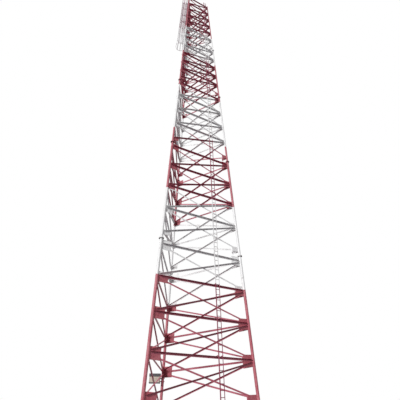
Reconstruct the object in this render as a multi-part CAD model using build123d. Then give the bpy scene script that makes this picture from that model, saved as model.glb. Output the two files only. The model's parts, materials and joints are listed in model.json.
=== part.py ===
from build123d import *
import os
from math import atan2, cos, degrees, radians, sin, sqrt

# A three-legged lattice radio mast, in millimetres, +Z up. The legs are flanged pipes that
# lean towards the mast's axis. Each of the three faces is braced panel by panel with angle bars
# on gusset plates. The origin is the middle of the underside of the rear leg's foot plate,
# and the front face is parallel to X.

# Mast outline: spacing of the leg axes in a face, and the height of each flanged section
base_face_width = 6125.0
top_face_width = 1958.0
base_height = 2601.0
section_1_height = 7860.0
section_2_height = 7170.0
section_3_height = 6630.0
section_4_height = 6150.0
section_5_height = 7244.0
panels_per_section = (1, 4, 4, 4, 5, 6)
node_below_flange = 350.0
node_above_flange = 330.0

# Legs, section by section, and the flanges that join them
leg_diameters = (159.0, 159.0, 146.0, 127.0, 108.0, 89.0)
leg_walls = (8.0, 8.0, 7.1, 6.3, 5.6, 5.0)
flange_overhangs = (62.0, 62.0, 58.0, 52.0, 46.0)
flange_thickness = 22.0
leg_cap_thickness = 10.0
# Pipes and flanges have few sides, with a flat side towards each gusset plate
leg_sides = 12

# Foot plates with their anchor holes and stiffeners
foot_width = 460.0
foot_thickness = 30.0
anchor_spacing = 340.0
anchor_hole_diameter = 33.0
stiffener_height = 200.0
stiffener_thickness = 12.0
stiffener_lip = 25.0
stiffener_margin = 12.0

# Gusset plates; the lowest one of a section carries no horizontal and is cut shorter
gusset_widths = (520.0, 520.0, 400.0, 330.0, 290.0, 270.0)
gusset_heights = (560.0, 560.0, 470.0, 400.0, 350.0, 330.0)
gusset_thickness = 12.0
low_gusset_below_share = 0.14
low_gusset_above_share = 0.5

# Angle bars of the bracing
horizontal_sizes = (100.0, 100.0, 100.0, 100.0, 100.0, 90.0)
diagonal_sizes = (80.0, 80.0, 80.0, 80.0, 80.0, 75.0)
bar_wall = 6.0
bar_end_gap = 40.0
bar_spacing = 15.0
crossing_pad_share = 0.5

# Ladder on the outside of the front face, placed by its distance from the middle of that face
ladder_width = 250.0
ladder_rail_size = 40.0
ladder_rail_wall = 5.0
ladder_standoff = 160.0
ladder_foot_offset = 802.0
ladder_top_offset = 584.0
ladder_start = 300.0
ladder_rail_gap = 5.0
rung_pitch = 280.0
rung_size = 30.0
bracket_thickness = 6.0
bracket_depth = 40.0
seat_clearance = 0.3

# Caged ladder on the outside of the left face, beside the left leg
cage_start = 29400.0
caged_ladder_standoff = 110.0
cage_leg_distance = 420.0
cage_radius = 300.0
cage_flare_radius = 345.0
cage_depth = 240.0
cage_mouth_angle = 90.0
cage_segments = 13
hoop_height = 60.0
hoop_thickness = 6.0
hoop_pitch = 1200.0
strap_width = 60.0
strap_thickness = 5.0
strap_segments = (0, 2, 4, 6, 8, 10, 12)

# Equipment cabinet on two arms outboard of the rear leg
cabinet_bottom = 4180.0
cabinet_width = 570.0
cabinet_height = 290.0
cabinet_depth = 280.0
cabinet_leg_gap = 50.0
cabinet_wall = 3.0
cabinet_cover_thickness = 8.0
hood_overhang = 15.0
hood_rise = 175.0
hood_edge = 150.0
tray_height = 35.0
tray_overhang = 12.0
arm_size = 50.0
arm_wall = 6.0
arm_inset = 70.0

# Slopes and stretches that follow from the outline
corner_turn = 120.0
section_heights = (
    base_height,
    section_1_height,
    section_2_height,
    section_3_height,
    section_4_height,
    section_5_height,
)
section_names = ("base", "section_1", "section_2", "section_3", "section_4", "section_5")
mast_height = sum(section_heights)
base_radius = base_face_width / sqrt(3)
leg_slope = (base_face_width - top_face_width) / sqrt(3) / mast_height
face_slope = leg_slope / 2
leg_stretch = sqrt(1 + leg_slope**2)
face_stretch = sqrt(1 + face_slope**2)
edge_slope = (base_face_width - top_face_width) / 2 / mast_height / face_stretch
edge_stretch = sqrt(1 + edge_slope**2)
section_starts = [sum(section_heights[:i]) for i in range(len(section_heights))]
section_ends = [start + height for start, height in zip(section_starts, section_heights)]
sections = range(len(section_names))

# Each face has its own frame: X along the face, Y up its slope and Z outwards. Each leg's frame
# has Z along the leg. The turns are about the mast's axis.
mast_axis = Pos(0, -base_radius, 0)
face_at_front = Plane((0, -base_radius / 2, 0), x_dir=(1, 0, 0), z_dir=(0, -1, face_slope))
leg_at_rear = Plane((0, base_radius, 0), x_dir=(1, 0, 0), z_dir=(0, -leg_slope, 1))
faces = {
    name: mast_axis * Rot(0, 0, turn * corner_turn) * face_at_front.location
    for turn, name in enumerate(("front", "right", "left"))
}
leg_turns = {
    name: mast_axis * Rot(0, 0, turn * corner_turn) * mast_axis.inverse()
    for turn, name in enumerate(("rear", "left", "right"))
}
# The two face ends that meet at each leg: the face, and which end of it
leg_ends = {
    "rear": (("left", -1), ("right", 1)),
    "left": (("front", -1), ("left", 1)),
    "right": (("right", -1), ("front", 1)),
}


def half_width(height):
    """Distance from the middle of a face to the leg's axis at a height above the ground."""
    return (base_face_width - (base_face_width - top_face_width) * height / mast_height) / 2


def node_heights(i):
    """Heights of a section's bracing nodes, from its lowest gusset to its top horizontal."""
    low = section_starts[i] + node_above_flange
    high = section_ends[i] - node_below_flange
    count = panels_per_section[i]
    return [low + (high - low) * k / count for k in range(count + 1)]


def bar_end(i, height):
    """Where a bar of section i stops, clear of the leg, measured from the middle of the face."""
    return half_width(height) - leg_diameters[i] / 2 * edge_stretch - bar_end_gap


def write(name, solids):
    """Writes one node from a list of solids."""
    export_step(solids[0] if len(solids) == 1 else Compound(solids), f"parts/{name}.step")


os.makedirs("parts", exist_ok=True)


# Legs


def leg_pipe(i):
    """One leg section along Z: a pipe with the flanges that it shares with its neighbours."""
    low = section_starts[i] * leg_stretch
    high = section_ends[i] * leg_stretch
    radius = leg_diameters[i] / 2
    pipe = Pos(0, 0, low) * leg_prism(radius, high - low)
    bore_top = high
    if i > 0:
        pipe += Pos(0, 0, low) * flange(i - 1)
    if i < sections[-1]:
        pipe += Pos(0, 0, high - flange_thickness) * flange(i)
    else:
        bore_top = high - leg_cap_thickness
    bore = leg_prism(radius - leg_walls[i], bore_top - low)
    return pipe, Pos(0, 0, low) * bore


def leg_prism(radius, length):
    """A round bar of few sides along Z, with the radius measured to its flats."""
    outline = RegularPolygon(radius, leg_sides, major_radius=False, rotation=180 / leg_sides)
    return extrude(outline, amount=length)


def flange(joint):
    """A flat splice flange, wider than the larger of the two pipes that it joins."""
    radius = max(leg_diameters[joint : joint + 2]) / 2 + flange_overhangs[joint]
    return leg_prism(radius, flange_thickness)


def foot_plate():
    """The level foot plate under a leg, with its anchor holes and its stiffeners."""
    plate = Box(foot_width, foot_width, foot_thickness, align=(Align.CENTER, Align.CENTER, Align.MIN))
    holes = GridLocations(anchor_spacing, anchor_spacing, 2, 2)
    plate -= holes * Cylinder(anchor_hole_diameter / 2, 2 * foot_thickness)
    reach = foot_width / 2 - stiffener_margin
    root = leg_diameters[0] / 2 + stiffener_lip
    top = foot_thickness + stiffener_height
    outline = Polygon(
        (0, foot_thickness),
        (reach, foot_thickness),
        (reach, foot_thickness + stiffener_lip),
        (root, top),
        (0, top),
        align=None,
    )
    web = extrude(Plane.XZ * outline, amount=stiffener_thickness / 2, both=True)
    for web_turn in range(4):
        plate += Rot(0, 0, web_turn * 90) * web
    return plate


def leg_section(i):
    """A leg section of the rear leg, set in its leaning place."""
    lean = mast_axis * leg_at_rear.location
    pipe, bore = (lean * solid for solid in leg_pipe(i))
    if i == 0:
        below = Pos(0, 0, -foot_width) * Box(2 * foot_width, 2 * foot_width, 2 * foot_width)
        stub = leg_prism(leg_diameters[0] / 2, 2 * foot_thickness)
        pipe = pipe + lean * Pos(0, 0, -foot_thickness) * stub + foot_plate() - below
        bore -= Pos(0, 0, foot_thickness) * below
    return pipe - bore


for i in sections:
    rear = leg_section(i)
    for name, turn in leg_turns.items():
        write(f"{name}_leg_{section_names[i]}", [turn * rear])


# Gusset plates


def gusset(i, height, end, below, above):
    """A plate in a face, square to the leg and against it, reaching below and above a node."""
    foot = Vector(end * half_width(height), height * face_stretch)
    along = Vector(-end * edge_slope, 1) / edge_stretch
    across = Vector(-end, -edge_slope) / edge_stretch
    near = foot + across * (leg_diameters[i] / 2)
    far = near + across * gusset_widths[i]
    corners = (near - along * below, far - along * below, far + along * above, near + along * above)
    outline = Polygon(*[(p.X, p.Y) for p in corners], align=None)
    return extrude(outline, amount=gusset_thickness / 2, both=True)


def gussets(i, end):
    """All plates of one section at one end of a face."""
    low, *others = node_heights(i)
    tall = gusset_heights[i]
    plates = [gusset(i, low, end, tall * low_gusset_below_share, tall * low_gusset_above_share)]
    plates += [gusset(i, height, end, tall / 2, tall / 2) for height in others]
    return plates


for name, ends in leg_ends.items():
    plates = [faces[face] * p for face, end in ends for i in sections for p in gussets(i, end)]
    write(f"{name}_leg_gussets", plates)


# Bracing


def angle_profile(size, wall, side):
    """An L outline: its flat leg lies on a gusset and its other leg stands out at the upper edge."""
    half = size / 2
    return Polygon(
        (-half, 0),
        (half, 0),
        (half, side * size),
        (half - wall, side * size),
        (half - wall, side * wall),
        (-half, side * wall),
        align=None,
    )


def angle_bar(start, finish, size, side):
    """An angle bar between two points of a face, on the outer (1) or inner (-1) side of its plates."""
    level = side * gusset_thickness / 2
    start, finish = (Vector(u, height * face_stretch, level) for u, height in (start, finish))
    run = finish - start
    upper = Vector(-run.Y, run.X, 0)
    section = Plane(start, x_dir=upper, z_dir=run) * angle_profile(size, bar_wall, side)
    return extrude(section, amount=run.length, dir=run.normalized())


def cross_brace(i, low, high):
    """The two diagonals of a panel, one each side of the plates, joined by a pad where they cross."""
    wide, narrow, size = bar_end(i, low), bar_end(i, high), diagonal_sizes[i]
    rising = angle_bar((-wide, low), (narrow, high), size, 1)
    falling = angle_bar((-narrow, high), (wide, low), size, -1)
    middle = low + (high - low) * wide / (wide + narrow)
    side = size * crossing_pad_share
    pad = Pos(0, middle * face_stretch, 0) * Rot(0, 0, 45) * Box(side, side, gusset_thickness)
    return rising + pad + falling


def bracing(i):
    """The diagonals and horizontals of one section of a face."""
    offset = (horizontal_sizes[i] + diagonal_sizes[i]) / 2 + bar_spacing
    heights = node_heights(i)
    bars = []
    for low, high in zip(heights, heights[1:]):
        bars.append(cross_brace(i, low + offset, high - offset))
        reach = bar_end(i, high)
        bars.append(angle_bar((-reach, high), (reach, high), horizontal_sizes[i], 1))
    return bars


for i in sections:
    bars = bracing(i)
    for name, face in faces.items():
        write(f"{name}_bracing_{section_names[i]}", [face * bar for bar in bars])


# Ladders: each is made in a frame with Y up the ladder and Z outwards, from the backs of its rails


class Ladder:
    """A straight ladder on the outside of a face, from one point of the face to another."""

    def __init__(self, foot, top, standoff):
        (self.foot_u, self.foot_height), (top_u, self.top_height) = foot, top
        rise = (self.top_height - self.foot_height) * face_stretch
        self.lean = atan2(self.foot_u - top_u, rise)
        self.length = sqrt(rise**2 + (top_u - self.foot_u) ** 2)
        back = gusset_thickness / 2 + standoff
        self.arm_reach = standoff + ladder_rail_size
        place = Pos(self.foot_u, self.foot_height * face_stretch, back)
        self.frame = place * Rot(0, 0, degrees(self.lean))

    def runs(self):
        """The stretches between breaks in the rails, which come at the mast's own splices."""
        inner = [end for end in section_ends if self.foot_height < end < self.top_height]
        stops = [self.foot_height, *inner, self.top_height]
        scale = self.length / (self.top_height - self.foot_height)
        marks = [(stop - self.foot_height) * scale for stop in stops]
        return [(a, b - ladder_rail_gap) for a, b in zip(marks, marks[1:])]

    def rails(self):
        """Two angle rails for each stretch, their webs outside and their flats facing outwards."""
        half, size, wall = ladder_width / 2, ladder_rail_size, ladder_rail_wall
        bars = []
        for low, high in self.runs():
            for side in (-1, 1):
                web = ((0, size), (0, 0), (wall, 0))
                flat = ((wall, size - wall), (size, size - wall), (size, size))
                outline = Polygon(*[(side * (half - x), z) for x, z in (*web, *flat)], align=None)
                level = Plane((0, low, 0), x_dir=(1, 0, 0), z_dir=(0, -1, 0))
                bars.append(extrude(level * outline, amount=high - low, dir=(0, 1, 0)))
        return [self.frame * bar for bar in bars]

    def rungs(self):
        """Evenly spaced square rungs between the webs of the rails."""
        bar = Box(ladder_width - 2 * ladder_rail_wall, rung_size, rung_size)
        depth = (ladder_rail_size - ladder_rail_wall) / 2
        places = []
        for low, high in self.runs():
            count = max(round((high - low) / rung_pitch), 1)
            places += [low + (high - low) * (k + 1 / 2) / count for k in range(count)]
        return [self.frame * Pos(0, y, depth) * bar for y in places]

    def brackets(self):
        """Flat arms that stand on the mast's horizontals and hold the rails from outside."""
        lower_front = (Align.CENTER, Align.MIN, Align.MAX)
        arm = Box(bracket_thickness, bracket_depth, self.arm_reach, align=lower_front)
        x = (ladder_width + bracket_thickness) / 2
        arms = []
        for i in sections:
            for height in node_heights(i)[1:]:
                if not self.foot_height < height < self.top_height - bracket_depth:
                    continue
                seat = (height - self.foot_height) * face_stretch + horizontal_sizes[i] / 2
                for side in (-x, x):
                    y = (seat + seat_clearance - side * sin(self.lean)) / cos(self.lean)
                    arms.append(self.frame * Pos(side, y, ladder_rail_size) * arm)
        return arms


def write_ladder(name, face, ladder):
    """Writes the rails, rungs and brackets of a ladder that stands on a face."""
    write(f"{name}_rails", [faces[face] * bar for bar in ladder.rails()])
    write(f"{name}_rungs", [faces[face] * bar for bar in ladder.rungs()])
    write(f"{name}_brackets", [faces[face] * bar for bar in ladder.brackets()])


ladder = Ladder((ladder_foot_offset, ladder_start), (ladder_top_offset, mast_height), ladder_standoff)
write_ladder("ladder", "front", ladder)

caged = Ladder(
    (half_width(cage_start) - cage_leg_distance, cage_start),
    (half_width(mast_height) - cage_leg_distance, mast_height),
    caged_ladder_standoff,
)
write_ladder("caged_ladder", "left", caged)


# Cage around the upper ladder: bent hoops on the rails, and straps inside the hoops

hoop_step = (360 - cage_mouth_angle) / cage_segments
hoop_angles = [radians(cage_mouth_angle / 2 - 90 + k * hoop_step) for k in range(cage_segments + 1)]
cage_middle = ladder_rail_size + cage_depth


def hoop(radius):
    """A flat bar bent round in short straight runs, its ends turned in onto the rails."""
    outer = [(radius * cos(a), cage_middle + radius * sin(a)) for a in hoop_angles]
    inner_radius = radius - hoop_thickness
    inner = [(inner_radius * cos(a), cage_middle + inner_radius * sin(a)) for a in hoop_angles]
    edge = ladder_width / 2
    tip = edge - ladder_rail_size
    seat, back = ladder_rail_size, ladder_rail_size + hoop_thickness
    right_end = [(tip, back), (tip, seat), (edge, seat)]
    left_end = [(-edge, seat), (-tip, seat), (-tip, back)]
    bend = edge - hoop_thickness
    outline = Polygon(
        *right_end, *outer, *left_end, (-bend, back), *reversed(inner), (bend, back), align=None
    )
    level = Plane((0, 0, 0), x_dir=(1, 0, 0), z_dir=(0, -1, 0))
    return extrude(level * outline, amount=hoop_height, dir=(0, 1, 0))


def strap(segment):
    """A strap up the inside of the hoops that spreads out to the wider hoop at the foot."""
    angle = radians(cage_mouth_angle / 2 - 90 + (segment + 1 / 2) * hoop_step)
    flat_share = cos(radians(hoop_step / 2))
    wide = (cage_flare_radius - hoop_thickness) * flat_share
    narrow = (cage_radius - hoop_thickness) * flat_share
    outside = [(wide, 0), (wide, hoop_height), (narrow, hoop_pitch), (narrow, caged.length)]
    inside = [(r - strap_thickness, y) for r, y in reversed(outside)]
    outwards, sideways = (cos(angle), 0, sin(angle)), (-sin(angle), 0, cos(angle))
    upright = Plane((0, 0, cage_middle), x_dir=outwards, z_dir=sideways)
    outline = upright * Polygon(*outside, *inside, align=None)
    return extrude(outline, amount=strap_width / 2, both=True)


hoop_count = int((caged.length - hoop_height) / hoop_pitch)
cage_frame = faces["left"] * caged.frame
hoops = [cage_frame * hoop(cage_flare_radius)]
hoops += [cage_frame * Pos(0, k * hoop_pitch, 0) * hoop(cage_radius) for k in range(1, hoop_count + 1)]
write("cage_hoops", hoops)
write("cage_straps", [cage_frame * strap(segment) for segment in strap_segments])


# Cabinet, in the frame of the left face: X is its depth, Y its height and Z its width

arm_line = -half_width(cabinet_bottom + cabinet_height / 2)
cabinet_floor = cabinet_bottom * face_stretch
cabinet_back = arm_line + arm_size / 2
cabinet_front = cabinet_back + cabinet_depth
cabinet_near = leg_diameters[1] / 2 + cabinet_leg_gap
cabinet_far = cabinet_near + cabinet_width
low_corner = (Align.MIN, Align.MIN, Align.MIN)


def cabinet_arm(height):
    """An angle bar from the leg's outer side, with its flat against the cabinet's back."""
    near = leg_diameters[1] / 2
    place = Plane((arm_line, height, near), x_dir=(0, 1, 0), z_dir=(0, 0, 1))
    outline = Pos(0, -arm_size / 2) * angle_profile(arm_size, arm_wall, 1)
    return extrude(place * outline, amount=cabinet_far - near, dir=(0, 0, 1))


def cabinet_hood():
    """A sloping lid that overhangs the front and the sides."""
    top = cabinet_floor + cabinet_height
    front = cabinet_front + cabinet_cover_thickness + hood_overhang
    lid = ((front, top + hood_edge), (cabinet_back, top + hood_rise))
    outline = Polygon((cabinet_back, top), (front, top), *lid, align=None)
    sheet = extrude(outline, amount=cabinet_width + 2 * hood_overhang)
    return Pos(0, 0, cabinet_near - hood_overhang) * sheet


def cabinet_tray():
    """A shallow tray under the cabinet."""
    depth = cabinet_depth + cabinet_cover_thickness + tray_overhang
    tray = Box(depth, tray_height, cabinet_width + 2 * tray_overhang, align=low_corner)
    return Pos(cabinet_back, cabinet_floor - tray_height, cabinet_near - tray_overhang) * tray


def cabinet_shell():
    """The cabinet's back and sides, open towards its cover."""
    body = Box(cabinet_depth, cabinet_height, cabinet_width, align=low_corner)
    height, width = (size - 2 * cabinet_wall for size in (cabinet_height, cabinet_width))
    hollow = Box(cabinet_depth, height, width, align=low_corner)
    body -= Pos(cabinet_wall, cabinet_wall, cabinet_wall) * hollow
    return Pos(cabinet_back, cabinet_floor, cabinet_near) * body


cover = Box(cabinet_cover_thickness, cabinet_height, cabinet_width, align=low_corner)
cover_place = Pos(cabinet_front, cabinet_floor, cabinet_near)
arm_heights = (cabinet_floor + arm_inset, cabinet_floor + cabinet_height - arm_inset)
write("cabinet_body", [faces["left"] * cabinet_shell()])
write("cabinet_cover", [faces["left"] * cover_place * cover])
write("cabinet_hood", [faces["left"] * cabinet_hood()])
write("cabinet_tray", [faces["left"] * cabinet_tray()])
write("cabinet_arms", [faces["left"] * cabinet_arm(height) for height in arm_heights])
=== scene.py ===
"""Round legs, fixings, paint and a stage for a three-legged lattice mast, in metres, +Z up."""

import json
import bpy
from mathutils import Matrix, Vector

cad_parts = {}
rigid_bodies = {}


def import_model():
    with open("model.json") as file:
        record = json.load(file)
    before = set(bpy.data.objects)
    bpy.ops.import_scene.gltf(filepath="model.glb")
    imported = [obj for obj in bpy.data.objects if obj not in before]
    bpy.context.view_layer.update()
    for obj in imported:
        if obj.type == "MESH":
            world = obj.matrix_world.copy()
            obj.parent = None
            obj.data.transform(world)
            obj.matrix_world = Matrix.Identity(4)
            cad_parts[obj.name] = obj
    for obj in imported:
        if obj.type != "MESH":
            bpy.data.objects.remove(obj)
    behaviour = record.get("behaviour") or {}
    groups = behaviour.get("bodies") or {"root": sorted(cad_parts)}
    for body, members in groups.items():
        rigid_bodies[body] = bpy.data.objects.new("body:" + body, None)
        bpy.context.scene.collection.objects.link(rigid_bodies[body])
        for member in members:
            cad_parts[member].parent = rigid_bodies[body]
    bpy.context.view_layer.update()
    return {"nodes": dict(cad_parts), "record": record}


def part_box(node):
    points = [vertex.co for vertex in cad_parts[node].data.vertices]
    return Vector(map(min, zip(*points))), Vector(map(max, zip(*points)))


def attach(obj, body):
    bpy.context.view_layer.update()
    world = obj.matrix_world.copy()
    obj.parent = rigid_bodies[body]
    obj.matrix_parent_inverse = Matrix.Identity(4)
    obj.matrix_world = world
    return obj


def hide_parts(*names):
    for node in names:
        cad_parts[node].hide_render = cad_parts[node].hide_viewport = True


bl_info = {
    "name": "Lattice mast finish",
    "version": (1, 0, 0),
    "blender": (4, 5, 0),
    "location": "3D View > Sidebar > Mast",
    "description": "Dresses a three-legged lattice mast: legs, fixings, ladders, paint and stage",
    "category": "Object",
}

from math import atan2, cos, hypot, pi, radians, sin, sqrt

import bpy
import numpy as np
from bpy.props import FloatProperty, FloatVectorProperty, IntProperty, PointerProperty
from bpy.types import Operator, Panel, PropertyGroup
from mathutils import Matrix

for leftover in list(bpy.data.objects):
    bpy.data.objects.remove(leftover)
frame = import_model()

SECTIONS = ("base", "section_1", "section_2", "section_3", "section_4", "section_5")
PANELS = (1, 4, 4, 4, 5, 6)
LEGS = ("rear", "left", "right")
FACES = ("front", "right", "left")
# The two face ends that meet at each leg: which face, and which end of it
LEG_ENDS = {"rear": ((2, -1), (1, 1)), "left": ((0, -1), (2, 1)), "right": ((1, -1), (0, 1))}
MOUNTS = {mount["name"]: mount for mount in frame["record"]["mounts"]}
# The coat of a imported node, by the first of these words that its name holds
NODE_COATS = {
    "cage_": "cage_shaded_coat",
    "ladder": "ladder_coat",
    "gussets": "plate_paint",
    "leg": "leg_paint",
    "bracing": "bar_paint",
    "cabinet_arms": "bar_paint",
    "cabinet_hood": "hood_coat",
    "cabinet_tray": "hood_coat",
    "cabinet": "cabinet_coat",
}
# Where a bar's two bolts stand from its end, as shares of the bar's leg
BAR_BOLTS = (0.55, 1.75)
# The cage's arc in degrees from the ladder's right, and the flats that its solid has along the arc
CAGE_ARC = (-45, 225)
CAGE_FLATS = 13
PIPE_SIDES = 40
SMOOTH_ANGLE = radians(34)
UP = np.array([0, 0, 1.0])


def splice_heights():
    """Heights of the leg splices, halfway between the two boxes that overlap at each."""
    boxes = [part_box(f"rear_leg_{section}") for section in SECTIONS]
    return [(low[1].z + high[0].z) / 2 for low, high in zip(boxes, boxes[1:])]


def tone(red, green, blue):
    """A colour as the eye sees it (0 to 255), turned into the linear values that shaders use."""
    shares = (np.array([red, green, blue]) / 255 + 0.055) / 1.055
    return tuple(float(share) for share in shares**2.4)


# Sizes and colours that a user would change, each with its label, its description and its default


def metres(label, description, default):
    """A length, or a row of lengths where the default is a row."""
    settings = {"name": label, "description": description, "default": default, "unit": "LENGTH"}
    if isinstance(default, tuple):
        return FloatVectorProperty(size=len(default), **settings)
    return FloatProperty(**settings)


def shade(label, description, red, green, blue):
    """A colour, written as the eye sees it."""
    default = tone(red, green, blue)
    return FloatVectorProperty(
        name=label, description=description, default=default, size=3, subtype="COLOR"
    )


def degrees(label, description, default):
    """An angle, written in degrees."""
    return FloatProperty(
        name=label, description=description, default=radians(default), subtype="ANGLE"
    )


def plain(label, description, default, subtype="NONE"):
    """A number without a unit."""
    return FloatProperty(name=label, description=description, default=default, subtype=subtype)


class MastOutline(PropertyGroup):
    """The lines that everything on the mast is placed by."""

    height: metres("Height", "Height of the leg axes above the feet", 37.655)
    top_width: metres("Top width", "Distance between the leg axes at the top", 1.958)
    node_above: metres(
        "First node", "Height of a section's lowest gusset above its lower splice", 0.33
    )
    node_below: metres(
        "Last node", "Depth of a section's top horizontal below its upper splice", 0.35
    )


class MastSteel(PropertyGroup):
    """Sizes of the steel, from the base section upwards."""

    leg_diameters: metres(
        "Leg diameters", "Outside diameter of the pipes", (0.159, 0.159, 0.146, 0.127, 0.108, 0.089)
    )
    leg_walls: metres(
        "Leg walls", "Wall thickness of the pipes", (0.008, 0.008, 0.0071, 0.0063, 0.0056, 0.005)
    )
    flange_overhangs: metres(
        "Flange overhangs",
        "How far each splice flange stands out from the larger of its pipes",
        (0.062, 0.062, 0.058, 0.052, 0.046),
    )
    flange_thickness: metres("Flange thickness", "Thickness of one splice flange", 0.022)
    foot_width: metres("Foot width", "Side of the square foot plates", 0.46)
    foot_thickness: metres("Foot thickness", "Thickness of the foot plates", 0.03)
    gusset_heights: metres(
        "Gusset heights",
        "Height of the gusset plates along the legs",
        (0.56, 0.56, 0.47, 0.4, 0.35, 0.33),
    )
    gusset_thickness: metres("Gusset thickness", "Thickness of the gusset plates", 0.012)
    horizontal_sizes: metres(
        "Horizontals", "Leg of the horizontal angle bars", (0.1, 0.1, 0.1, 0.1, 0.1, 0.09)
    )
    diagonal_sizes: metres(
        "Diagonals", "Leg of the diagonal angle bars", (0.08, 0.08, 0.08, 0.08, 0.08, 0.075)
    )
    bar_wall: metres("Bar wall", "Thickness of the angle bars", 0.006)
    bar_end_gap: metres("Bar end gap", "Distance between a bar's end and the pipe", 0.04)
    bar_spacing: metres("Bar spacing", "Distance between the bars that meet on a gusset", 0.015)
    bolt_share: plain(
        "Bolt share", "Diameter of a bar's bolts as a share of the bar's leg", 0.21, "FACTOR"
    )
    flange_bolts: IntProperty(
        name="Flange bolts", description="Number of bolts round each splice", default=12
    )
    flange_bolt_share: plain(
        "Flange bolt share", "Diameter of the bolts as a share of the overhang", 0.33, "FACTOR"
    )
    flange_bolt_place: plain(
        "Flange bolt place", "How far across the overhang the bolts stand", 0.55, "FACTOR"
    )
    anchor_thread: metres("Anchor thread", "Diameter of the anchor studs", 0.03)
    low_gusset_share: plain(
        "Low gusset share", "Share of a section's lowest gusset below its node", 0.14, "FACTOR"
    )
    weld_size: metres("Weld size", "Leg of the weld beads between gussets and pipes", 0.009)


class MastLadders(PropertyGroup):
    """Sizes of the two ladders and of the cage."""

    width: metres("Ladder width", "Width over the rails", 0.25)
    rail_size: metres("Rail size", "Leg of the angle rails", 0.04)
    rail_wall: metres("Rail wall", "Thickness of the angle rails", 0.005)
    rail_gap: metres("Rail gap", "Gap between two stretches of rail", 0.005)
    standoff: metres("Standoff", "Distance of the rails from the gussets' outer side", 0.16)
    caged_standoff: metres(
        "Caged standoff", "Distance of the caged ladder's rails from the gussets' outer side", 0.11
    )
    foot_height: metres("Ladder foot", "Height at which the long ladder starts", 0.3)
    foot_offset: metres(
        "Foot offset", "Distance of the long ladder's foot from the middle of the front face", 0.802
    )
    top_offset: metres(
        "Top offset", "Distance of the long ladder's top from the middle of the front face", 0.584
    )
    cage_start: metres("Cage start", "Height at which the caged ladder starts", 29.4)
    cage_leg_distance: metres(
        "Caged ladder place", "Distance of the caged ladder's middle from the leg's axis", 0.42
    )
    rung_pitch: metres("Rung pitch", "Distance between rungs", 0.28)
    rung_diameter: metres("Rung diameter", "Diameter of the rungs", 0.03)
    hoop_radius: metres("Hoop radius", "Outside radius of the cage", 0.3)
    flare_radius: metres("Flare radius", "Outside radius of the lowest hoop", 0.345)
    cage_depth: metres(
        "Cage depth", "Distance of the cage's middle from the front of the rails", 0.24
    )
    hoop_height: metres("Hoop height", "Width of the hoops' flat bar", 0.06)
    hoop_thickness: metres("Hoop thickness", "Thickness of the hoops' flat bar", 0.006)
    hoop_pitch: metres("Hoop pitch", "Distance between hoops", 1.2)
    strap_width: metres("Strap width", "Width of the cage's straps", 0.06)
    strap_thickness: metres("Strap thickness", "Thickness of the cage's straps", 0.005)


class MastFinish(PropertyGroup):
    """Colours of the mast and the heights at which its paint changes."""

    leg_red: shade("Leg red", "Red of the pipes, which the sun reaches", 172, 78, 92)
    leg_faded: shade(
        "Faded leg red", "Red of the pipes where the weather has bleached it", 210, 138, 146
    )
    bar_red: shade("Bar red", "Red of the bars, dulled by dust", 178, 84, 103)
    bar_faded: shade(
        "Faded bar red", "Red of the bars where the weather has bleached it", 208, 124, 139
    )
    plate_red: shade("Plate red", "Red of the gusset plates", 164, 76, 88)
    plate_faded: shade(
        "Faded plate red", "Red of the plates where the weather has bleached it", 200, 122, 130
    )
    ladder_red: shade("Ladder red", "Red of the ladders, an older coat", 142, 54, 80)
    ladder_faded: shade(
        "Faded ladder red", "Red of the ladders where the weather has bleached it", 168, 86, 106
    )
    # The cage's reds and its white are darker than the other paints. This is painted shade,
    # standing in for the shade that the cage sits in.
    cage_shaded_red: shade("Cage red", "Red of the cage, the oldest coat", 112, 52, 76)
    cage_shaded_faded: shade(
        "Faded cage red", "Red of the cage where the weather has bleached it", 142, 84, 104
    )
    cage_shaded_white: shade("Cage white", "White of the cage, the oldest coat", 206, 203, 205)
    white: shade("White paint", "White of the painted bands", 243, 243, 243)
    grime: shade("Grime", "Streaks on the white paint", 150, 148, 146)
    rust: shade("Rust", "Steel where the paint has chipped off", 92, 52, 40)
    rust_water: shade("Rusty water", "Stains that run down from chips and joints", 134, 86, 72)
    zinc: shade("Zinc", "Hot-dip zinc on anchor studs, bracket bolts and hinges", 152, 156, 160)
    bolt_steel: shade("Bolt steel", "Weathered bolts of the leg flanges", 84, 76, 74)
    enclosure: shade("Cabinet coat", "Coat of the cabinet", 196, 184, 168)
    enclosure_stain: shade("Cabinet stain", "Dirt on the cabinet's coat", 120, 108, 92)
    trim: shade("Cabinet trim", "Hood and tray of the cabinet", 58, 54, 58)
    trim_stain: shade("Trim stain", "Dust on the hood and the tray", 96, 90, 86)
    band_edges: metres(
        "Band edges",
        "Heights at which the paint changes, starting with red at the foot",
        (8.39, 13.851, 19.011, 23.691, 28.251, 32.151),
    )


class MastStage(PropertyGroup):
    """Camera, light and floor."""

    camera_place: FloatVectorProperty(
        name="Camera",
        description="Where the camera stands",
        size=3,
        subtype="TRANSLATION",
        default=(-8.807, -21.204, 1.465),
    )
    camera_heading: degrees("Heading", "Turn of the view from +Y towards +X", 32.307)
    camera_pitch: degrees("Pitch", "Upward tilt of the view", 33.37)
    camera_roll: degrees("Roll", "Turn of the frame about the view", -2.116)
    lens: plain("Lens", "Focal length on a 36 mm wide sensor", 32.678)
    frame_shift: plain(
        "Frame shift", "Sideways shift of the frame, as a share of its width", -0.0574
    )
    key_heading: degrees("Key heading", "Where the key light comes from, from -Y towards -X", 60)
    key_elevation: degrees("Key elevation", "Height of the key light above the horizon", 24)
    key_strength: plain("Key strength", "Strength of the key light", 2.6)
    key_softness: degrees("Key softness", "How wide the key light looks in the sky", 14)
    sky_strength: plain("Sky strength", "Soft light from above", 0.42)
    floor_radius: metres("Floor radius", "Reach of the floor", 400.0)
    floor_pale: shade("Floor", "Colour of the floor", 236, 236, 236)
    floor_cloud: shade("Floor clouds", "Faint darker clouds in the floor", 228, 228, 228)
    floor_bounce: shade("Floor bounce", "Colour of the light that the floor throws up", 86, 80, 88)


# Shader expressions


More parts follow.
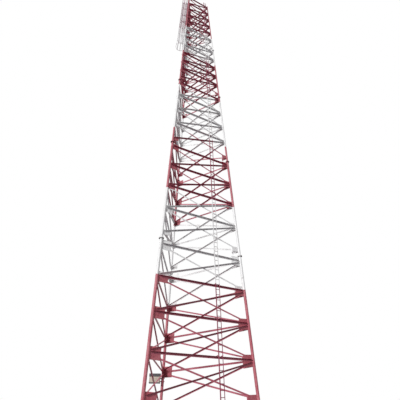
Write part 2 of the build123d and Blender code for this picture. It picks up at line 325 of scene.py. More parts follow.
class Wire:
    """One output socket. Arithmetic between wires and numbers adds Math nodes."""

    def __init__(self, sheet, socket):
        self.sheet = sheet
        self.socket = socket

    def __add__(self, other):
        return self.sheet.math("ADD", self, other)

    def __radd__(self, other):
        return self.sheet.math("ADD", other, self)

    def __sub__(self, other):
        return self.sheet.math("SUBTRACT", self, other)

    def __rsub__(self, other):
        return self.sheet.math("SUBTRACT", other, self)

    def __mul__(self, other):
        return self.sheet.math("MULTIPLY", self, other)

    def __rmul__(self, other):
        return self.sheet.math("MULTIPLY", other, self)

    def clamp(self):
        """The value held between 0 and 1."""
        settings = {"operation": "ADD", "use_clamp": True}
        return self.sheet.node("ShaderNodeMath", settings, {0: self, 1: 0.0})


class Sheet:
    """The node tree of one material or of the world."""

    def __init__(self, owner):
        owner.use_nodes = True
        self.owner = owner
        self.tree = owner.node_tree
        self.tree.nodes.clear()

    def node(self, kind, settings=None, links=None, output=0):
        """Adds a node, sets its settings, fills its sockets, and gives one of its outputs."""
        made = self.tree.nodes.new(kind)
        for key, value in (settings or {}).items():
            setattr(made, key, value)
        for key, value in (links or {}).items():
            if isinstance(value, Wire):
                self.tree.links.new(value.socket, made.inputs[key])
            else:
                made.inputs[key].default_value = value
        return Wire(self, made.outputs[output]) if len(made.outputs) else None

    def math(self, operation, left, right):
        """A Math node on two values."""
        return self.node("ShaderNodeMath", {"operation": operation}, {0: left, 1: right})

    def mix(self, share, first, second):
        """A colour between two colours."""
        ends = [c if isinstance(c, Wire) else (*c, 1.0) for c in (first, second)]
        links = {0: share, 6: ends[0], 7: ends[1]}
        return self.node("ShaderNodeMix", {"data_type": "RGBA"}, links, 2)

    def noise(self, spot, scale, detail, stretch=(1, 1, 1)):
        """Soft noise from 0 to 1 with a number of blotches to the metre."""
        mapped = self.node("ShaderNodeMapping", None, {"Vector": spot, "Scale": stretch})
        links = {"Vector": mapped, "Scale": scale, "Detail": detail}
        return self.node("ShaderNodeTexNoise", None, links)

    def seen(self):
        """1 for rays that show the surroundings: to the eye, in gloss and through glass."""
        kinds = ("Camera", "Glossy", "Transmission")
        rays = [self.node("ShaderNodeLightPath", output=f"Is {kind} Ray") for kind in kinds]
        return (rays[0] + rays[1] + rays[2]).clamp()


def surface(name):
    """The node sheet of a new material and the object coordinates that its patterns use."""
    sheet = Sheet(bpy.data.materials.new(name))
    return sheet, sheet.node("ShaderNodeTexCoord", output="Object")


def finish_surface(sheet, colour, roughness, relief, depth, metallic=0.0):
    """Joins colour, roughness and a bump of a given depth into the material's shader."""
    links = {"Strength": 0.6, "Distance": depth, "Height": relief}
    bump = sheet.node("ShaderNodeBump", None, links)
    links = {"Base Color": colour, "Roughness": roughness, "Normal": bump, "Metallic": metallic}
    shader = sheet.node("ShaderNodeBsdfPrincipled", None, links)
    sheet.node("ShaderNodeOutputMaterial", None, {"Surface": shader})


def banded_paint(name, finish, fresh, faded, bleach=0.0, wear=0.5, soil=0.5, pale=None):
    """Red and white brush paint in level bands, bleached in blotches, stained by rusty water that
    runs down it, and chipped to rust. Bleach, wear and soil shift how much of each there is."""
    waver, blur = 0.05, 0.012
    sheet, spot = surface(name)
    height = sheet.node("ShaderNodeSeparateXYZ", None, {"Vector": spot}, "Z")
    broad = sheet.noise(spot, 0.7, 4.0)
    patches = sheet.noise(spot, 9.0, 5.0)
    fine = sheet.noise(spot, 75.0, 3.0)
    streaks = sheet.noise(spot, 1.0, 4.0, (26, 26, 1.1))
    edge = height + (patches - 0.5) * waver
    white_share = 0.0
    for k, level in enumerate(finish.band_edges):
        step = ((edge - level) * (1 / blur)).clamp()
        white_share = white_share - step if k % 2 else white_share + step
    fade = ((broad - 0.38) * 1.6 + (patches - 0.5) * 1.8 + (fine - 0.5) * 0.5 + bleach).clamp()
    red = sheet.mix(fade, fresh, faded)
    dirt = ((streaks - 0.52) * 2.2 + (broad - 0.55) * 0.6).clamp() * soil
    white = sheet.mix(dirt, pale or finish.white, finish.grime)
    bands = sheet.mix(white_share, red, white)
    runs = ((streaks - 0.55) * 6.0).clamp() * (patches * 2.4 - 0.8).clamp() * soil
    stained = sheet.mix(runs, bands, finish.rust_water)
    chips = ((patches * 0.7 + fine * 0.3 + wear * 0.2 - 0.7) * 22.0).clamp() * wear
    colour = sheet.mix(chips, stained, finish.rust)
    roughness = 0.4 + patches * 0.16 + chips * 0.3
    finish_surface(sheet, colour, roughness, fine * 0.5 + patches - chips, 0.0015)


def spangled_metal(name, base):
    """Dull zinc or weathered steel with a grainy spangle and pale stains."""
    sheet, spot = surface(name)
    links = {"Vector": spot, "Scale": 55.0}
    spangle = sheet.node("ShaderNodeTexVoronoi", None, links, "Color")
    grain = sheet.node("ShaderNodeSeparateColor", None, {"Color": spangle})
    stains = sheet.noise(spot, 6.0, 4.0)
    pale = tuple(min(1.0, share * 1.45) for share in base)
    colour = sheet.mix((grain * 0.45 + (stains - 0.45)).clamp(), base, pale)
    finish_surface(sheet, colour, 0.42 + stains * 0.25, grain, 0.0004, metallic=0.75)


def powder_coat(name, base, stain):
    """A stoved coat with a fine orange peel, and dirt in run-off streaks and blotches."""
    sheet, spot = surface(name)
    peel = sheet.noise(spot, 420.0, 2.0)
    blotches = sheet.noise(spot, 7.0, 4.0)
    streaks = sheet.noise(spot, 1.0, 4.0, (60, 60, 4))
    dirt = ((streaks - 0.5) * 1.8 + (blotches - 0.5) * 0.8).clamp() * 0.6
    colour = sheet.mix(dirt, base, stain)
    finish_surface(sheet, colour, 0.38 + blotches * 0.25, peel + blotches, 0.0006)


# Surfaces: each is a pair of an array of points and a list of arrays of faces


def grid_faces(rows, columns, closed):
    """Quads between the rows of a grid whose columns close round, and its rows too if closed."""
    index = np.arange(rows * columns).reshape(rows, columns)
    low = index if closed else index[:-1]
    high = np.roll(index, -1, 0) if closed else index[1:]
    quads = np.stack([low, np.roll(low, -1, 1), np.roll(high, -1, 1), high], -1)
    return quads.reshape(-1, 4)


def end_caps(rows, columns):
    """One flat face over the first row of a grid and one over its last."""
    first = np.arange(columns)
    return np.stack([first[::-1], first + (rows - 1) * columns])


def lathe(profile, sides, closed=False, start=0.0):
    """Turns (radius, height) points about Z: (r cos a, r sin a, h) for equal steps of the angle a.
    The ends get flat caps, or the profile closes on itself."""
    profile = np.asarray(profile, float)
    angles = start + np.arange(sides) * 2 * pi / sides
    circle = np.stack([np.cos(angles), np.sin(angles)], -1)
    points = np.empty((len(profile), sides, 3))
    points[..., :2] = profile[:, None, :1] * circle
    points[..., 2] = profile[:, 1:]
    faces = [grid_faces(len(profile), sides, closed)]
    if not closed:
        faces.append(end_caps(len(profile), sides))
    return points.reshape(-1, 3), faces


def sweep(profile, places, across, up):
    """Carries a closed profile along a path: place + x * across + y * up at every stop.
    The profile runs anticlockwise as seen against the path, and the ends get flat caps."""
    profile = np.asarray(profile, float)
    places, across, up = np.broadcast_arrays(places, across, up)
    points = (
        places[:, None]
        + profile[None, :, :1] * across[:, None]
        + profile[None, :, 1:] * up[:, None]
    )
    shape = points.shape[:2]
    return points.reshape(-1, 3), [grid_faces(*shape, False), end_caps(*shape)]


def join(*surfaces):
    """Several surfaces as one, with their faces renumbered."""
    starts = np.cumsum([0] + [len(points) for points, _ in surfaces])
    faces = [f + start for (_, group), start in zip(surfaces, starts) for f in group]
    return np.concatenate([points for points, _ in surfaces]), faces


def place(shape, origins, axes):
    """Copies of a surface: origin + x * first axis + y * second axis + z * third axis for each."""
    points, faces = shape
    origins, axes = np.atleast_2d(origins), np.asarray(axes, float).reshape(-1, 3, 3)
    axes = np.broadcast_to(axes, (len(origins), 3, 3))
    copies = origins[:, None] + points[None] @ axes
    starts = (np.arange(len(origins)) * len(points))[:, None, None]
    spread = [(f[None] + starts).reshape(-1, f.shape[1]) for f in faces]
    return copies.reshape(-1, 3), spread


def plate(width, height, thickness, chamfer):
    """A flat plate centred on the origin, thin along Z, its edges broken by a chamfer."""
    half = np.array([[-1, -1], [1, -1], [1, 1], [-1, 1]]) / 2 * (width, height)
    inset = half - np.sign(half) * chamfer
    rings = [inset, half, half, inset]
    levels = (-thickness / 2, chamfer - thickness / 2, thickness / 2 - chamfer, thickness / 2)
    points = np.stack([np.column_stack([r, np.full(4, z)]) for r, z in zip(rings, levels)])
    return points.reshape(-1, 3), [grid_faces(4, 4, False), end_caps(4, 4)]


def rod(radius, half, edge, sides=12):
    """A round bar along Z, centred on the origin, its two ends broken by a chamfer."""
    end = ((radius - edge, half), (radius, half - edge))
    return lathe([(r, -h) for r, h in end] + [*end[::-1]], sides)


def bolt(thread, top, bottom):
    """A hexagon head on a washer above, and a washer, a nut and the thread's end below, along Z.
    All its sizes are shares of the thread's diameter."""
    washer = 0.2 * thread
    corner, shoulder = 0.9 * thread, 0.72 * thread
    head = ((corner, top + washer), (corner, top + 0.75 * thread), (shoulder, top + 0.85 * thread))
    nut_low, nut_high = bottom - 1.05 * thread, bottom - washer
    nut = ((shoulder, nut_low), (corner, nut_low + 0.1 * thread), (corner, nut_high))
    tip = ((0.38 * thread, nut_low - 0.4 * thread), (0.5 * thread, nut_low - 0.3 * thread))
    return join(
        lathe(((thread, top), (thread, top + washer)), 8),
        lathe(head, 6),
        lathe(((thread, bottom - washer), (thread, bottom)), 8),
        lathe(nut, 6),
        lathe((*tip, (0.5 * thread, nut_low)), 6),
    )


def weld_bead(size, stops=9):
    """A quarter-round bead of unit length along Z that swells and shrinks a little as it runs."""
    run = np.linspace(0, 1, stops)
    swell = 1 + 0.1 * np.sin(run * 23) + 0.06 * np.sin(run * 51 + 1)
    section = np.array([(-0.25, -0.1), (1, -0.1), (0.8, 0.5), (0.5, 0.8), (-0.25, 1)]) * size
    points = np.empty((stops, len(section), 3))
    points[..., :2] = section * swell[:, None, None]
    points[..., 2] = run[:, None]
    return points.reshape(-1, 3), [grid_faces(stops, 5, False), end_caps(stops, 5)]


def paint(name):
    """A material made by the paint operator."""
    if name not in bpy.data.materials:
        raise RuntimeError(f"the material {name} isn't mixed yet: run the paint operator first")
    return bpy.data.materials[name]


def add_piece(name, shape, coat, replaced=()):
    """Puts a painted surface into the scene as a piece that rides on the mast."""
    points, faces = shape
    mesh = bpy.data.meshes.new(name)
    totals = np.concatenate([np.full(len(f), f.shape[1]) for f in faces])
    corners = np.concatenate([f.ravel() for f in faces])
    mesh.vertices.add(len(points))
    mesh.vertices.foreach_set("co", points.astype(np.float32).ravel())
    mesh.loops.add(len(corners))
    mesh.loops.foreach_set("vertex_index", corners.astype(np.int32))
    mesh.polygons.add(len(totals))
    starts = np.concatenate([[0], np.cumsum(totals)[:-1]])
    mesh.polygons.foreach_set("loop_start", starts.astype(np.int32))
    mesh.polygons.foreach_set("use_smooth", np.ones(len(totals), bool))
    mesh.update(calc_edges=True)
    if mesh.validate():
        raise RuntimeError(f"{name} has faces that don't hold together")
    mesh.set_sharp_from_angle(angle=SMOOTH_ANGLE)
    mesh.materials.append(paint(coat))
    piece = bpy.data.objects.new(name, mesh)
    bpy.context.scene.collection.objects.link(piece)
    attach(piece, "root")
    if replaced:
        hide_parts(*replaced)


# Lines of the mast


def turn(steps):
    """A turn about Z by thirds of a circle, for rows of vectors."""
    angle = steps * 2 * pi / 3
    return np.array([[cos(angle), sin(angle), 0], [-sin(angle), cos(angle), 0], [0, 0, 1]])


class Mast:
    """Leg lines, face planes and bracing nodes, worked out from the feet, height and top."""

    def __init__(self, scene):
        outline = scene.mast_outline
        self.steel = scene.mast_steel
        self.feet = np.array([MOUNTS[f"{leg}_foot_face"]["pos_m"] for leg in LEGS])
        self.axis = self.feet.mean(0)
        self.radius = np.linalg.norm(self.feet[0] - self.axis)
        self.base_width = self.radius * sqrt(3)
        self.height, self.top_width = outline.height, outline.top_width
        self.node_above, self.node_below = outline.node_above, outline.node_below
        self.leg_slope = (self.base_width - self.top_width) / sqrt(3) / self.height
        self.leg_stretch = hypot(1, self.leg_slope)
        self.face_slope = self.leg_slope / 2
        self.face_stretch = hypot(1, self.face_slope)
        edge_drop = (self.base_width - self.top_width) / 2 / self.height
        self.edge_slope = edge_drop / self.face_stretch
        self.edge_stretch = hypot(1, self.edge_slope)
        self.stops = [0.0, *splice_heights(), self.height]

    def half_width(self, height):
        """Distance from the middle of a face to a leg's axis at a height."""
        return (self.base_width - (self.base_width - self.top_width) * height / self.height) / 2

    def leg_axes(self, leg):
        """Rows X, Y and Z of a leg's leaning frame."""
        z = np.array([0, -self.leg_slope, 1]) / self.leg_stretch
        x = np.array([1.0, 0, 0])
        return np.stack([x, np.cross(z, x), z]) @ turn(leg)

    def face_axes(self, face):
        """Rows along the face, up its slope and outwards."""
        out = np.array([0, -1, self.face_slope]) / self.face_stretch
        along = np.array([1.0, 0, 0])
        return np.stack([along, np.cross(out, along), out]) @ turn(face)

    def face_points(self, face, along, height, out):
        """Points of a face: distance from its middle, height above ground, and distance out."""
        along, height, out = np.broadcast_arrays(along, height, out)
        local = np.stack([along, height * self.face_stretch, out], -1).reshape(-1, 3)
        middle = self.axis + np.array([0, -self.radius / 2, 0]) @ turn(face)
        return middle + local @ self.face_axes(face)

    def nodes(self, i):
        """Heights of a section's bracing nodes, from its lowest gusset to its top horizontal."""
        low = self.stops[i] + self.node_above
        high = self.stops[i + 1] - self.node_below
        return np.linspace(low, high, PANELS[i] + 1)

    def bar_end(self, i, height):
        """Where the bars of a section stop, measured from the middle of a face."""
        clear = self.steel.leg_diameters[i] / 2 * self.edge_stretch + self.steel.bar_end_gap
        return self.half_width(height) - clear


def leg_profile(mast, i):
    """Outline of a leg section as (radius, distance up): pipe, flanges, weld fillets, bore."""
    steel = mast.steel
    low, high = (stop * mast.leg_stretch for stop in mast.stops[i : i + 2])
    radius = steel.leg_diameters[i] / 2
    bore = radius - steel.leg_walls[i]
    thick, fillet, edge = steel.flange_thickness, 0.011, 0.003

    def rim(joint, start, finish):
        wide = max(steel.leg_diameters[joint : joint + 2]) / 2 + steel.flange_overhangs[joint]
        low_edge = [(wide - edge, start), (wide, start + edge)]
        return [*low_edge, (wide, finish - edge), (wide - edge, finish)]

    if i == 0:
        low += steel.foot_thickness / 2
    points = [(bore, low)]
    if i:
        points += rim(i - 1, low, low + thick)
        points += [(radius + fillet, low + thick), (radius, low + thick + fillet)]
    else:
        points += [(radius, low)]
    if i < len(SECTIONS) - 1:
        points += [(radius, high - thick - fillet), (radius + fillet, high - thick)]
        points += [*rim(i, high - thick, high), (bore, high)]
    else:
        pin, cap = 0.0005, 0.01
        points += [(radius, high - edge), (radius - edge, high), (pin, high)]
        points += [(pin, high - cap), (bore, high - cap)]
    return points


def foot_plate(mast, leg):
    """A level foot plate with broken edges and four tapering stiffeners against the pipe."""
    steel = mast.steel
    wide, thick = steel.foot_width, steel.foot_thickness
    chamfer, margin, inside, lip, half, rise = 0.004, 0.012, 0.02, 0.025, 0.006, 0.2
    base = place(plate(wide, wide, thick, chamfer), (0, 0, thick / 2), np.eye(3))
    root, reach, top = steel.leg_diameters[0] / 2, wide / 2 - margin, thick + rise
    web = (
        (inside, thick),
        (reach, thick),
        (reach, thick + lip),
        (root + lip, top),
        (inside, top),
    )
    rib = sweep(web, np.array([[0, half, 0], [0, -half, 0]]), np.array([1.0, 0, 0]), UP)
    quarter = np.array([[0, 1.0, 0], [-1.0, 0, 0], UP])
    turns = [np.linalg.matrix_power(quarter, k) for k in range(4)]
    ribs = place(rib, np.zeros((4, 3)), turns)
    return place(join(base, ribs), mast.feet[leg], turn(leg))


def anchor_bolt(thread, seat):
    """A stud with a plate washer and two nuts on the foot plate, in shares of its thread."""
    washer, nut = seat + 0.3 * thread, 0.85 * thread
    top = washer + 2 * nut + 0.8 * thread
    rounds = [lathe(((1.15 * thread, seat), (1.15 * thread, washer)), 16)]
    for k in range(2):
        low = washer + k * nut
        ring = ((0.78, 0), (0.9, 0.1), (0.9, 0.9), (0.78, 1))
        rounds.append(lathe([(r * thread, low + h * nut) for r, h in ring], 6, start=k * 0.4))
    tip = ((0.5, washer), (0.5, top - 0.12 * thread), (0.4, top))
    rounds.append(lathe([(r * thread, h) for r, h in tip], 12))
    return join(*rounds)


class Ladder:
    """A straight ladder on the outside of a face, with X across it, Y up it and Z outwards."""

    def __init__(self, mast, standoff, face, foot, top):
        (foot_u, self.low), (top_u, self.high) = foot, top
        rise = (self.high - self.low) * mast.face_stretch
        lean = atan2(foot_u - top_u, rise)
        self.lean, self.length = lean, hypot(rise, top_u - foot_u)
        back = mast.steel.gusset_thickness / 2 + standoff
        self.origin = mast.face_points(face, foot_u, self.low, back)[0]
        tilt = np.array([[cos(lean), sin(lean), 0], [-sin(lean), cos(lean), 0], [0, 0, 1]])
        self.axes = tilt @ mast.face_axes(face)
        inner = [stop for stop in mast.stops if self.low < stop < self.high]
        scale = self.length / (self.high - self.low)
        self.marks = [(stop - self.low) * scale for stop in (self.low, *inner, self.high)]

    def points(self, x, y, z):
        """Points of the ladder in the mast's frame."""
        return self.origin + np.stack(np.broadcast_arrays(x, y, z), -1).reshape(-1, 3) @ self.axes


def ladders(mast, sizes):
    """The long ladder on the front face and the caged one on the left face."""
    foot = (sizes.foot_offset, sizes.foot_height)
    long_ladder = Ladder(mast, sizes.standoff, 0, foot, (sizes.top_offset, mast.height))
    ends = [
        (mast.half_width(height) - sizes.cage_leg_distance, height)
        for height in (sizes.cage_start, mast.height)
    ]
    return {"ladder": long_ladder, "caged_ladder": Ladder(mast, sizes.caged_standoff, 2, *ends)}


# Operators


class MAST_OT_paint(Operator):
    """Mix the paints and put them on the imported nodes"""

    bl_idname = "mast.paint"
    bl_label = "Paint"

    def execute(self, context):
        finish = context.scene.mast_finish
        bars = (finish.bar_red, finish.bar_faded)
        older = (finish.ladder_red, finish.ladder_faded)
        # Darker reds for the cage: painted shade
        shade_painted = (finish.cage_shaded_red, finish.cage_shaded_faded)
        banded_paint("leg_paint", finish, finish.leg_red, finish.leg_faded, soil=0.25)
        banded_paint("bar_paint", finish, *bars)
        banded_paint("plate_paint", finish, finish.plate_red, finish.plate_faded)
        banded_paint("fixing_paint", finish, *bars, bleach=-0.1, wear=0.9)
        banded_paint("ladder_coat", finish, *older, soil=0.9)
        banded_paint("rung_coat", finish, *older, bleach=-0.3, wear=0.9, soil=0.9)
        # The cage's coat, darker in its red and its white bands: painted shade
        banded_paint("cage_shaded_coat", finish, *shade_painted, soil=0.9, pale=finish.cage_shaded_white)
        spangled_metal("zinc_coat", finish.zinc)
        spangled_metal("bolt_steel", finish.bolt_steel)
        powder_coat("cabinet_coat", finish.enclosure, finish.enclosure_stain)
        powder_coat("hood_coat", finish.trim, finish.trim_stain)
        for node, solid in frame["nodes"].items():
            coat = next(coat for word, coat in NODE_COATS.items() if word in node)
            solid.data.materials.clear()
            solid.data.materials.append(paint(coat))
        return {"FINISHED"}


class MAST_OT_legs(Operator):
    """Make the round leg pipes with their flanges and feet"""

    bl_idname = "mast.legs"
    bl_label = "Legs"

    def execute(self, context):
        mast = Mast(context.scene)
        for leg, leg_name in enumerate(LEGS):
            for i, section in enumerate(SECTIONS):
                pipe = lathe(leg_profile(mast, i), PIPE_SIDES, closed=True)
                shape = place(pipe, mast.feet[leg], mast.leg_axes(leg))
                if i == 0:
                    shape = join(shape, foot_plate(mast, leg))
                node = f"{leg_name}_leg_{section}"
                add_piece(f"{node}_pipe", shape, "leg_paint", [node])
        return {"FINISHED"}


class MAST_OT_leg_fixings(Operator):
    """Add the flange bolts, the gusset welds and the anchor studs of each leg"""

    bl_idname = "mast.leg_fixings"
    bl_label = "Leg fixings"

    def execute(self, context):
        mast = Mast(context.scene)
        for leg, leg_name in enumerate(LEGS):
            bolts = self.flange_bolts(mast, leg)
            add_piece(f"{leg_name}_leg_flange_bolts", bolts, "bolt_steel")
            welds = self.welds(mast, leg_name)
            add_piece(f"{leg_name}_leg_welds", welds, "plate_paint")
            studs = self.anchor_studs(mast, leg, MOUNTS[f"{leg_name}_anchor_bolts"])
            add_piece(f"{leg_name}_anchor_studs", studs, "zinc_coat")
        return {"FINISHED"}

    def flange_bolts(self, mast, leg):
        """Bolts on a circle through each pair of flanges."""
        steel, axes, groups = mast.steel, mast.leg_axes(leg), []
        thick = steel.flange_thickness
        angles = (np.arange(steel.flange_bolts) + 0.5) * 2 * pi / steel.flange_bolts
        for joint, overhang in enumerate(steel.flange_overhangs):
            radius = max(steel.leg_diameters[joint : joint + 2]) / 2
            ring = radius + overhang * steel.flange_bolt_place
            level = np.full_like(angles, mast.stops[joint + 1] * mast.leg_stretch)
            local = np.stack([ring * np.cos(angles), ring * np.sin(angles), level], -1)
            shape = bolt(overhang * steel.flange_bolt_share, thick, -thick)
            groups.append(place(shape, mast.feet[leg] + local @ axes, axes))
        return join(*groups)

    def welds(self, mast, leg_name):
        """Two beads along the edge of every gusset that stands against this leg: one runs up, and
        the one on the plate's other side runs down."""
        steel, groups = mast.steel, []
        half = steel.gusset_thickness / 2
        bead = weld_bead(steel.weld_size)
        for face, end in LEG_ENDS[leg_name]:
            axes = mast.face_axes(face)
            along = np.array([-end * mast.edge_slope, 1, 0]) / mast.edge_stretch
            across = np.array([-end, -mast.edge_slope, 0]) / mast.edge_stretch
            for i, tall in enumerate(steel.gusset_heights):
                heights = mast.nodes(i)
                spots = mast.face_points(face, end * mast.half_width(heights), heights, 0)
                above, below = tall / 2, np.full(len(heights), tall / 2)
                below[0] = steel.low_gusset_share * tall
                for side in (-1, 1):
                    way = end * side
                    start = np.where(way > 0, -below, above)[:, None] * along
                    local = start + across * steel.leg_diameters[i] / 2 + (0, 0, side * half)
                    rows = np.empty((len(heights), 3, 3))
                    rows[:, 0], rows[:, 1] = across, (0, 0, side)
                    rows[:, 2] = (above + below)[:, None] * along * way
                    groups.append(place(bead, spots + local @ axes, rows @ axes))
        return join(*groups)

    def anchor_studs(self, mast, leg, mount):
        """Four studs at the corners of the square that the mount's bolt circle holds."""
        half = mount["dims"]["pcd_mm"] / 1000 / 2 / sqrt(2)
        corners = np.array([(x, y, 0) for x in (-half, half) for y in (-half, half)])
        stud = anchor_bolt(mast.steel.anchor_thread, mast.steel.foot_thickness)
        return place(stud, mast.feet[leg] + corners @ turn(leg), turn(leg))


class MAST_OT_bracing_bolts(Operator):
    """Bolt the bars to their gussets and to each other where they cross"""

    bl_idname = "mast.bracing_bolts"
    bl_label = "Bracing bolts"

    def execute(self, context):
        mast = Mast(context.scene)
        for face, face_name in enumerate(FACES):
            bolts = join(*[self.section_bolts(mast, face, i) for i in range(len(SECTIONS))])
            add_piece(f"{face_name}_bracing_bolts", bolts, "fixing_paint")
        return {"FINISHED"}

    def section_bolts(self, mast, face, i):
        """Two bolts at each bar end and one at each crossing of a section."""
        steel = mast.steel
        seat, wall = steel.gusset_thickness / 2, steel.bar_wall
        wide_bar, thin_bar = steel.horizontal_sizes[i], steel.diagonal_sizes[i]
        offset = (wide_bar + thin_bar) / 2 + steel.bar_spacing
        heights = mast.nodes(i)
        tops = heights[1:]
        low, high = heights[:-1] + offset, tops - offset
        reach, wide, narrow = (mast.bar_end(i, level) for level in (tops, low, high))
        bars = (
            (-reach, tops, reach, tops, wide_bar, 1),
            (-wide, low, narrow, high, thin_bar, 1),
            (-narrow, high, wide, low, thin_bar, -1),
        )
        groups = []
        for u0, h0, u1, h1, size, side in bars:
            run = np.stack([u1 - u0, (h1 - h0) * mast.face_stretch])
            run /= np.linalg.norm(run, axis=0)
            shape = bolt(size * steel.bolt_share, seat + wall, -seat)
            for share in BAR_BOLTS:
                for u, h, way in ((u0, h0, share * size), (u1, h1, -share * size)):
                    along, up = run * way
                    spots = mast.face_points(face, u + along, h + up / mast.face_stretch, 0)
                    groups.append(place(shape, spots, self.axes(mast, face, side)))
        middle = low + (high - low) * wide / (wide + narrow)
        shape = bolt(thin_bar * steel.bolt_share, seat + wall, -seat - wall)
        spots = mast.face_points(face, 0, middle, 0)
        groups.append(place(shape, spots, self.axes(mast, face, 1)))
        return join(*groups)

    def axes(self, mast, face, side):
        """A bolt's frame: its head outside (1) or inside (-1) the face."""
        along, up, out = mast.face_axes(face)
        return np.stack([along, up * side, out * side])


class MAST_OT_ladder_fittings(Operator):
    """Make the round rungs, the rail splices and the bracket bolts of both ladders"""

    bl_idname = "mast.ladder_fittings"
    bl_label = "Ladder fittings"

    def execute(self, context):
        mast, sizes = Mast(context.scene), context.scene.mast_ladders
        for name, ladder in ladders(mast, sizes).items():
            rungs = self.rungs(ladder, sizes)
            add_piece(f"{name}_round_rungs", rungs, "rung_coat", [f"{name}_rungs"])
            splices = self.splices(ladder, sizes)
            add_piece(f"{name}_rail_splices", splices, "ladder_coat")
            bolts = self.bracket_bolts(mast, ladder, sizes)
            add_piece(f"{name}_bracket_bolts", bolts, "zinc_coat")
        return {"FINISHED"}

    def rungs(self, ladder, sizes):
        """Round bars between the rails' webs, evenly spaced in each stretch of rail."""
        bar = rod(sizes.rung_diameter / 2, sizes.width / 2 - sizes.rail_wall, 0.0015)
        spots = []
        for low, high in zip(ladder.marks, ladder.marks[1:]):
            stretch = high - sizes.rail_gap - low
            count = max(round(stretch / sizes.rung_pitch), 1)
            spots.append(low + stretch * (np.arange(count) + 0.5) / count)
        depth = (sizes.rail_size - sizes.rail_wall) / 2
        across, up, out = ladder.axes
        axes = np.stack([up, out, across])
        return place(bar, ladder.points(0, np.concatenate(spots), depth), axes)

    def splices(self, ladder, sizes):
        """A fish plate inside each rail where two stretches meet, with four bolts."""
        wide, tall, thick, chamfer = 0.026, 0.24, 0.006, 0.0012
        depth, thread, shifts = 0.016, 0.01, (-0.09, -0.035, 0.035, 0.09)
        fish, fixing = plate(wide, tall, thick, chamfer), bolt(thread, thick, -sizes.rail_wall)
        inner = sizes.width / 2 - sizes.rail_wall
        marks = np.array(ladder.marks[1:-1]) - sizes.rail_gap / 2
        across, up, out = ladder.axes
        groups = []
        for side in (-1, 1):
            axes = np.stack([out, up * side, -across * side])
            spots = ladder.points(side * (inner - thick / 2), marks, depth)
            groups.append(place(fish, spots, axes))
            for shift in shifts:
                spots = ladder.points(side * inner, marks + shift, depth)
                groups.append(place(fixing, spots, axes))
        return join(*groups)

    def bracket_bolts(self, mast, ladder, sizes):
        """A bolt through each bracket arm and the web of its rail."""
        arm, rise, depth, thread, headroom = 0.006, 0.02, 0.019, 0.012, 0.04
        fixing, half = bolt(thread, arm, -sizes.rail_wall), sizes.width / 2
        seats = []
        for i, size in enumerate(mast.steel.horizontal_sizes):
            heights = mast.nodes(i)[1:]
            keep = (heights > ladder.low) & (heights < ladder.high - headroom)
            seats.append((heights[keep] - ladder.low) * mast.face_stretch + size / 2)
        seats = np.concatenate(seats)
        across, up, out = ladder.axes
        groups = []
        for side in (-1, 1):
            x = side * (half + arm / 2)
            y = (seats - x * sin(ladder.lean)) / cos(ladder.lean) + rise
            axes = np.stack([out, -up * side, across * side])
            groups.append(place(fixing, ladder.points(side * half, y, depth), axes))
        return join(*groups)


